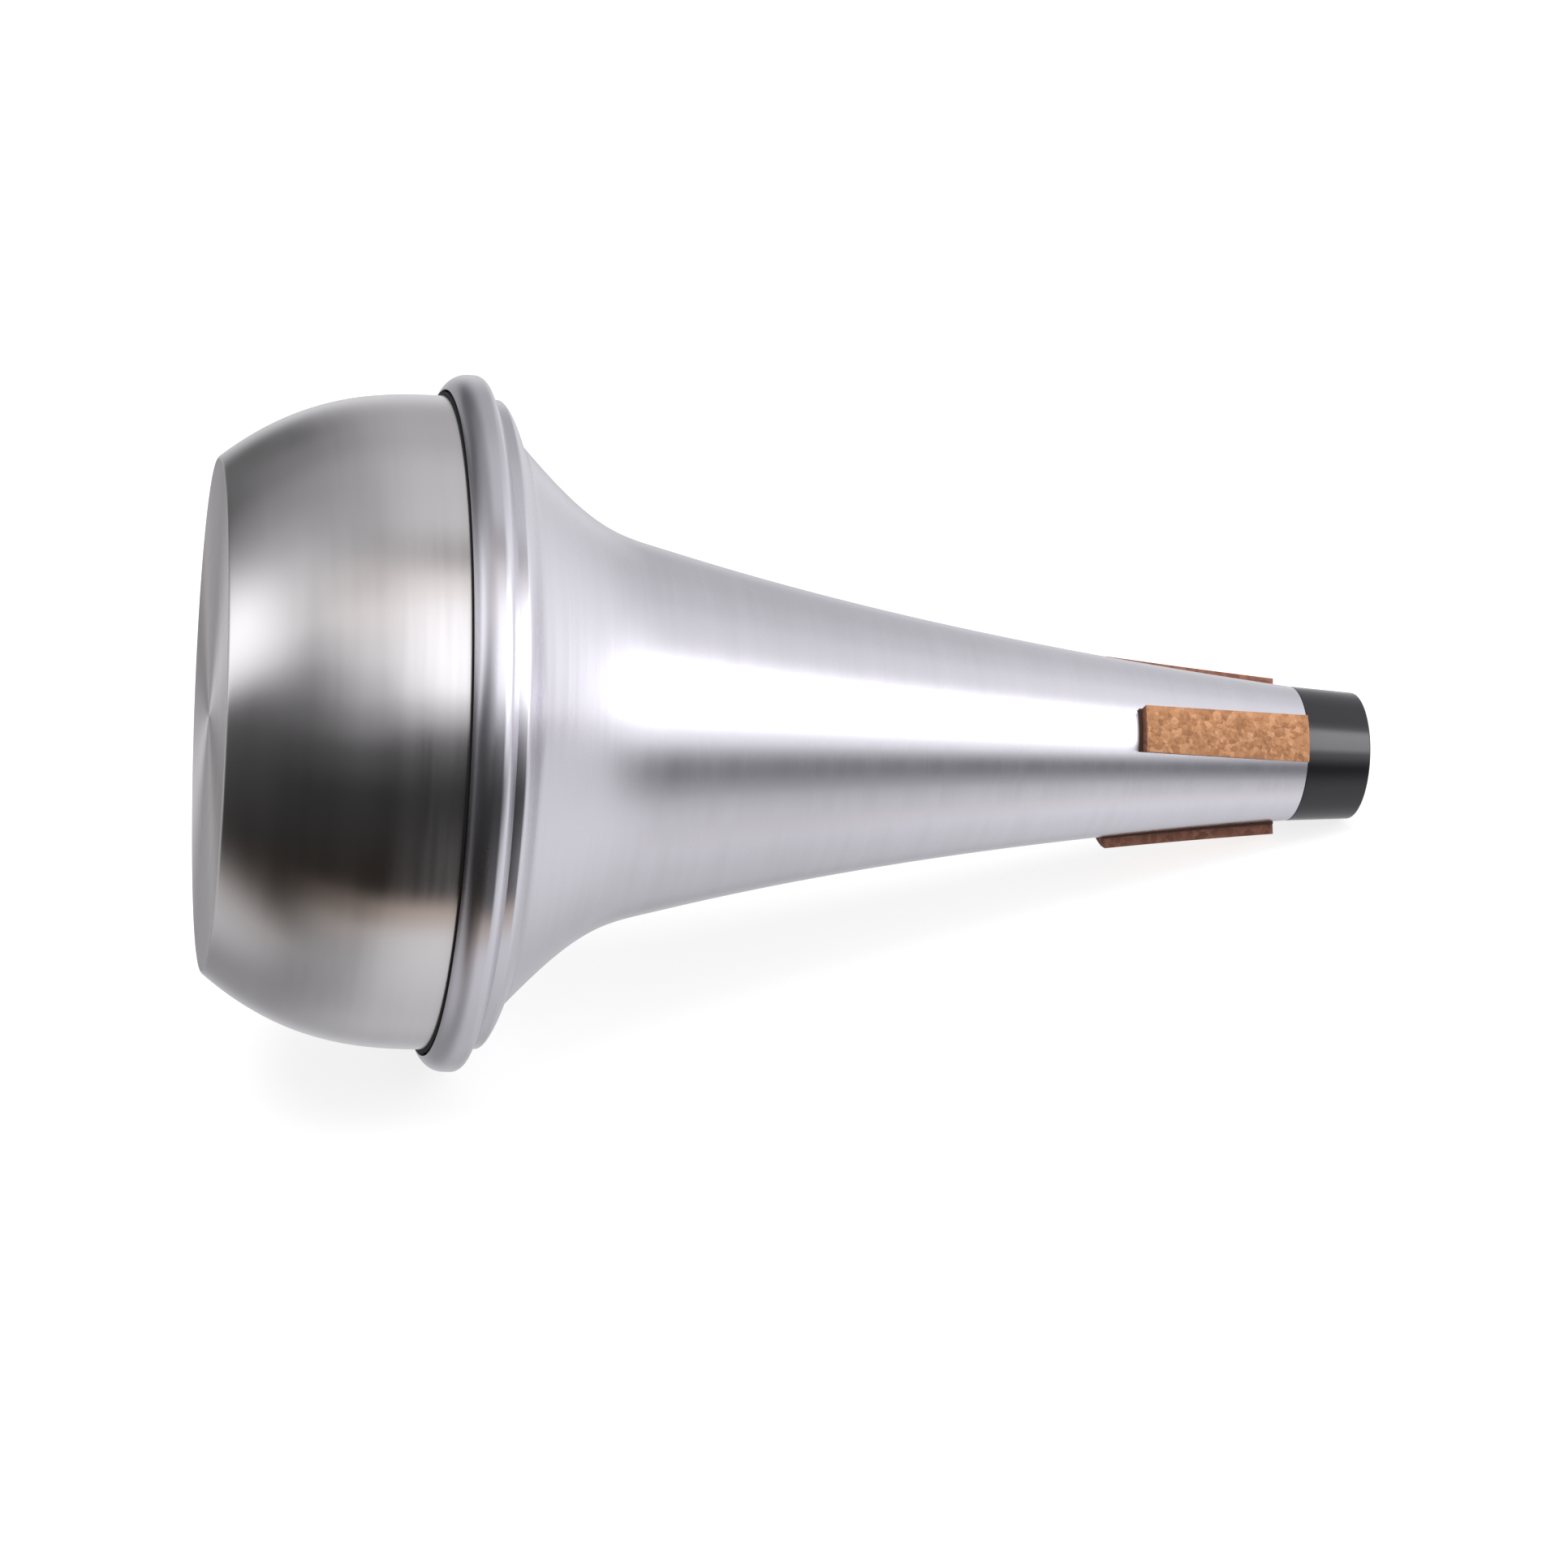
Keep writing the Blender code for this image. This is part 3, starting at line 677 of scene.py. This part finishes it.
def make_strips(cork, glue_and_edge_shade):
    """The three strips with their granules, the left one a little off even, each on a film of glue. The
    glue's dark brown is partly painted shade along the strip's edges and end.
    """
    granules = cork_granules()
    lift = FIT_GAP + ADHESIVE_THICKNESS
    for index, label in enumerate(("lower", "left", "right")):
        azimuth = 2.0 * math.pi * index / CORK_COUNT + math.radians(CORK_TURNS_DEG[index])
        setback = CORK_NECK_SETBACK + CORK_SETBACK_STEP * (CORK_COUNT - 1 - index)
        start = NECK_STATION - setback - CORK_LENGTH
        strip = horn_strip("cork_skin_" + label, azimuth, start, CORK_LENGTH, CORK_WIDTH, lift,
                           CORK_THICKNESS + FIT_GAP - GRAIN_PROUD, (74, 18), cork)
        give_tree(strip, granules, {
            "Sideways": (-math.sin(azimuth), math.cos(azimuth), 0.0),
            "Middle Station": start + 0.5 * CORK_LENGTH,
            "Half Width": 0.5 * (CORK_WIDTH - GRAIN_WIDTHS[1]),
            "Half Length": 0.5 * (CORK_LENGTH - GRAIN_WIDTHS[1]),
            "Spacing": GRAIN_SPACING,
            "Smallest": (GRAIN_WIDTHS[0], GRAIN_WIDTHS[0], GRAIN_HEIGHTS[0]),
            "Largest": (GRAIN_WIDTHS[1], GRAIN_WIDTHS[1], GRAIN_HEIGHTS[1]),
            "Seed": index + 1, "Cork": cork})
        settle(strip, "cork_strip_" + label)
        film = horn_strip("shaded_glue_film_" + label, azimuth, start - ADHESIVE_MARGIN,
                          CORK_LENGTH + ADHESIVE_MARGIN, CORK_WIDTH, 0.0, lift, (24, 6), glue_and_edge_shade)
        settle(film, "cork_adhesive_" + label)


# Camera of the photograph, relative to the mute: found from its ellipses and outline
CAMERA_STATION = -0.0490
CAMERA_DISTANCE = 0.8000
CAMERA_ROUND_DEG = 18.5
CAMERA_YAW_DEG = 11.78
CAMERA_PITCH_DEG = -0.70
CAMERA_ROLL_DEG = 2.05
CAMERA_FOCAL_PIXELS = 4890.0
PHOTO_PIXELS = 1932.0
SENSOR_MM = 36.0


def make_camera():
    """Camera where the photograph was taken from."""
    lift = math.radians(CAMERA_ROUND_DEG)
    to_camera = Vector((0.0, -math.cos(lift), 0.0)) + AXIS_UP * math.sin(lift)
    ahead = -to_camera
    upward = AXIS.cross(ahead)
    yaw = math.radians(CAMERA_YAW_DEG)
    pitch = math.radians(CAMERA_PITCH_DEG)
    roll = math.radians(CAMERA_ROLL_DEG)
    forward = (AXIS * math.sin(yaw) * math.cos(pitch) + ahead * math.cos(yaw) * math.cos(pitch)
               + upward * math.sin(pitch))
    right = AXIS * math.cos(yaw) - ahead * math.sin(yaw)
    up = right.cross(forward)
    turned_right = right * math.cos(roll) + up * math.sin(roll)
    turned_up = up * math.cos(roll) - right * math.sin(roll)
    data = bpy.data.cameras.new("photo_camera")
    data.sensor_width = SENSOR_MM
    data.lens = SENSOR_MM * CAMERA_FOCAL_PIXELS / PHOTO_PIXELS
    data.clip_start = 0.01
    data.clip_end = 50.0
    camera = bpy.data.objects.new("photo_camera", data)
    bpy.context.collection.objects.link(camera)
    turn = Matrix((turned_right, turned_up, -forward)).transposed().to_4x4()
    spot = BASE_CENTRE + AXIS * CAMERA_STATION + to_camera * CAMERA_DISTANCE
    camera.matrix_world = Matrix.Translation(spot) @ turn
    bpy.context.scene.camera = camera


# Brightness of the studio in seven directions along the mute, from back behind the base to straight
# ahead. A stop is (degrees above level, brightness, warmth), and a step is where one direction fades
# into the next, in degrees forward of square out.
BEHIND_THE_BASE = ((-180, 0.50, 0), (-140, 0.50, 0), (-110, 0.30, 0), (-92, 0.06, 0.2), (-70, 0.01, 0.2),
                   (-20, 0.05, 0), (6, 0.06, 0), (22, 0.08, 0), (32, 0.13, 0), (42, 0.48, 0),
                   (52, 1.02, 0), (66, 1.46, 0), (90, 1.72, 0), (106, 1.36, 0), (122, 0.76, 0),
                   (145, 0.35, 0), (165, 0.40, 0), (180, 0.50, 0))
PAST_THE_BASE = ((-180, 0.55, 0), (-140, 0.50, 0), (-104, 0.60, 0), (-88, 0.46, 0.1), (-78, 0.14, 0.4),
                 (-68, 0.02, 0.5), (-12, 0.03, 0), (6, 0.06, 0), (20, 0.13, 0), (36, 0.25, 0),
                 (48, 0.46, 0), (60, 0.68, 0), (74, 0.72, 0), (88, 0.66, 0), (104, 0.48, 0),
                 (124, 0.30, 0), (144, 0.12, 0), (158, 0.10, 0), (170, 0.35, 0), (180, 0.55, 0))
A_LITTLE_BACK = ((-180, 0.38, 0), (-156, 0.32, 0), (-132, 0.31, 0), (-96, 0.30, 0), (-76, 0.33, 0),
                 (-62, 0.34, 0.2), (-52, 0.16, 0.4), (-42, 0.02, 0.5), (-8, 0.04, 0), (6, 0.10, 0),
                 (18, 0.31, 0), (30, 0.56, 0), (42, 0.78, 0), (56, 0.84, 0.1), (70, 0.60, 0.1),
                 (88, 0.42, 0), (120, 0.37, 0), (140, 0.25, 0), (156, 0.15, 0), (168, 0.12, 0),
                 (180, 0.38, 0))
OUT_FROM_ITS_SIDE = ((-180, 0.72, 0), (-150, 0.62, 0), (-130, 0.50, 0), (-110, 0.62, 0), (-62, 0.82, 0),
                     (-51, 0.52, 0.4), (-42, 0.01, 0.5), (12, 0.01, 0), (23, 0.60, 0),
                     (31, 1.10, 0), (40, 1.12, 0), (54, 1.02, 0), (66, 0.94, 0.1), (78, 0.42, 0.05),
                     (92, 0.70, 0), (112, 0.68, 0), (136, 0.54, 0), (156, 0.50, 0), (180, 0.72, 0))
PAST_THE_NECK = ((-180, 0.92, 0), (-162, 0.68, 0), (-140, 0.60, 0), (-96, 0.72, 0), (-58, 0.84, 0),
                 (-46, 0.88, 0), (-32, 0.74, 0), (-21, 0.44, 0), (-11, 0.23, -0.1), (-3, 0.22, -0.1),
                 (5, 0.60, 0), (13, 1.25, 0), (21, 1.50, 0), (30, 4.40, 0), (58, 4.80, 0),
                 (69, 1.40, 0), (80, 1.00, 0), (100, 0.90, 0), (118, 0.74, 0), (144, 0.68, 0),
                 (166, 0.78, 0), (180, 0.92, 0))
WELL_AHEAD = ((-180, 1.00, 0), (-150, 0.96, 0), (-70, 0.94, 0), (-50, 0.84, 0), (-30, 0.58, 0),
              (-14, 0.52, 0), (0, 0.74, 0), (14, 1.15, 0), (26, 1.35, 0), (38, 2.00, 0), (60, 2.40, 0),
              (80, 1.80, 0), (98, 1.34, 0), (114, 1.12, 0), (156, 1.10, 0), (180, 1.00, 0))
STRAIGHT_AHEAD = ((-180, 0.84, 0), (-110, 0.82, 0), (-80, 0.94, 0), (-56, 1.00, 0), (-30, 1.02, 0),
                  (0, 1.04, 0), (30, 1.12, 0), (62, 1.12, 0), (98, 1.00, 0), (150, 0.96, 0),
                  (180, 0.84, 0))
DIRECTION_STEPS = ((-64, -44), (-38, -20), (-14, 4), (15, 26), (28, 66), (66, 90))


def brightness_ramp(tree, angle, stops):
    """Ramp of brightness over the angle, a little redder or bluer by its warmth."""
    share = add_node(tree, "ShaderNodeMapRange", {"Value": angle})
    share.inputs["From Min"].default_value = -math.pi
    share.inputs["From Max"].default_value = math.pi
    ramp = add_node(tree, "ShaderNodeValToRGB", {"Fac": share.outputs["Result"]})
    elements = ramp.color_ramp.elements
    ramp.color_ramp.interpolation = "EASE"
    elements.remove(elements[1])
    elements[0].position = 0.0
    for degrees, bright, warmth in stops[1:]:
        elements.new((degrees + 180.0) / 360.0)
    for element, (degrees, bright, warmth) in zip(elements, stops):
        element.color = (bright * (1.0 + 0.5 * warmth), bright, bright * (1.03 - 0.4 * warmth), 1.0)
    return ramp.outputs["Color"]


def make_studio():
    """White room whose brightness changes with direction, a lit white table and soft overhead light."""
    world = bpy.data.worlds.new("studio_room")
    bpy.context.scene.world = world
    world.use_nodes = True
    tree = world.node_tree
    tree.nodes.clear()
    place = add_node(tree, "ShaderNodeTexCoord")
    turned = add_node(tree, "ShaderNodeMapping", {"Vector": place.outputs["Generated"]})
    turned.inputs["Rotation"].default_value = (0.0, -TILT, 0.0)
    parts = add_node(tree, "ShaderNodeSeparateXYZ", {"Vector": turned.outputs["Vector"]})
    front = add_node(tree, "ShaderNodeMath", {0: parts.outputs["Y"]}, operation="MULTIPLY")
    front.inputs[1].default_value = -1.0
    angle = add_node(tree, "ShaderNodeMath", {0: parts.outputs["Z"], 1: front.outputs["Value"]},
                     operation="ARCTAN2")
    forward = add_node(tree, "ShaderNodeMath", {0: parts.outputs["X"]}, operation="ARCSINE")
    colour = brightness_ramp(tree, angle.outputs["Value"], BEHIND_THE_BASE)
    later = (PAST_THE_BASE, A_LITTLE_BACK, OUT_FROM_ITS_SIDE, PAST_THE_NECK, WELL_AHEAD, STRAIGHT_AHEAD)
    for (first, last), stops in zip(DIRECTION_STEPS, later):
        share = add_node(tree, "ShaderNodeMapRange", {"Value": forward.outputs["Value"]},
                         interpolation_type="SMOOTHSTEP")
        share.inputs["From Min"].default_value = math.radians(first)
        share.inputs["From Max"].default_value = math.radians(last)
        blend = add_node(tree, "ShaderNodeMix", {"Factor": share.outputs["Result"]}, data_type="RGBA")
        tree.links.new(colour, blend.inputs[6])
        tree.links.new(brightness_ramp(tree, angle.outputs["Value"], stops), blend.inputs[7])
        colour = blend.outputs[2]
    room = add_node(tree, "ShaderNodeBackground", {"Color": colour})
    plain = add_node(tree, "ShaderNodeBackground", Strength=1.0)
    plain.inputs["Color"].default_value = (1.0, 1.0, 1.0, 1.0)
    ray = add_node(tree, "ShaderNodeLightPath")
    shown = add_node(tree, "ShaderNodeMixShader", {"Fac": ray.outputs["Is Camera Ray"]})
    tree.links.new(room.outputs["Background"], shown.inputs[1])
    tree.links.new(plain.outputs["Background"], shown.inputs[2])
    add_node(tree, "ShaderNodeOutputWorld", {"Surface": shown.outputs["Shader"]})

    surface, floor_tree, shader = new_material("lit_white_acrylic_table")
    shader.inputs["Base Color"].default_value = (0.30, 0.30, 0.30, 1.0)
    shader.inputs["Roughness"].default_value = 0.9
    shader.inputs["Specular IOR Level"].default_value = 0.0
    shader.inputs["Emission Color"].default_value = (1.0, 1.0, 1.0, 1.0)
    shader.inputs["Emission Strength"].default_value = 0.80
    sheet = bmesh.new()
    bmesh.ops.create_grid(sheet, x_segments=1, y_segments=1, size=6.0)
    mesh = bpy.data.meshes.new("pale_floor")
    sheet.to_mesh(mesh)
    sheet.free()
    mesh.materials.append(surface)
    floor = bpy.data.objects.new("pale_floor", mesh)
    floor.location.z = -0.0002
    floor.visible_glossy = False
    bpy.context.collection.objects.link(floor)

    light = bpy.data.lights.new("overhead_softbox", "AREA")
    light.shape = "DISK"
    light.size = 2.4
    light.energy = 60.0
    lamp = bpy.data.objects.new("overhead_softbox", light)
    lamp.location = (0.0, -0.4, 2.4)
    lamp.visible_glossy = False
    lamp.visible_camera = False
    bpy.context.collection.objects.link(lamp)
    bpy.context.scene.view_settings.view_transform = "Standard"


make_camera()
make_studio()
make_shells(spun_aluminium("spun_aluminium_cone", "#d8d6dc", 0.26),
            spun_aluminium("spun_aluminium_bowl", "#e1dede", 0.23))
# The seam ring is black rubber, and its black also stands in for the shade in the groove under the bead
seam_rubber_and_groove_shade = plain_finish("black_seam_rubber_and_groove_shade", "#0c0b0c", 0.7, 0.002)
seam_ring = turned_piece("seam_ring", seam_seal_profile(), seam_rubber_and_groove_shade, closed=True)
settle(seam_ring, "seam_seal")
sleeve = turned_piece("sleeve_skin", throat_sleeve_profile(), turned_black_plastic(), closed=True)
settle(sleeve, "throat_sleeve")
# Glue film: dark brown glue, partly painted shade along the strips' edges and ends
make_strips(pressed_cork(), plain_finish("contact_glue_and_edge_shade", "#3b2416", 0.6, 0.001))
disc = frame["nodes"]["damping_disc"]
disc.data.materials.clear()
disc.data.materials.append(plain_finish("grey_wool_felt", "#5c5c5c", 0.95, 0.0006))
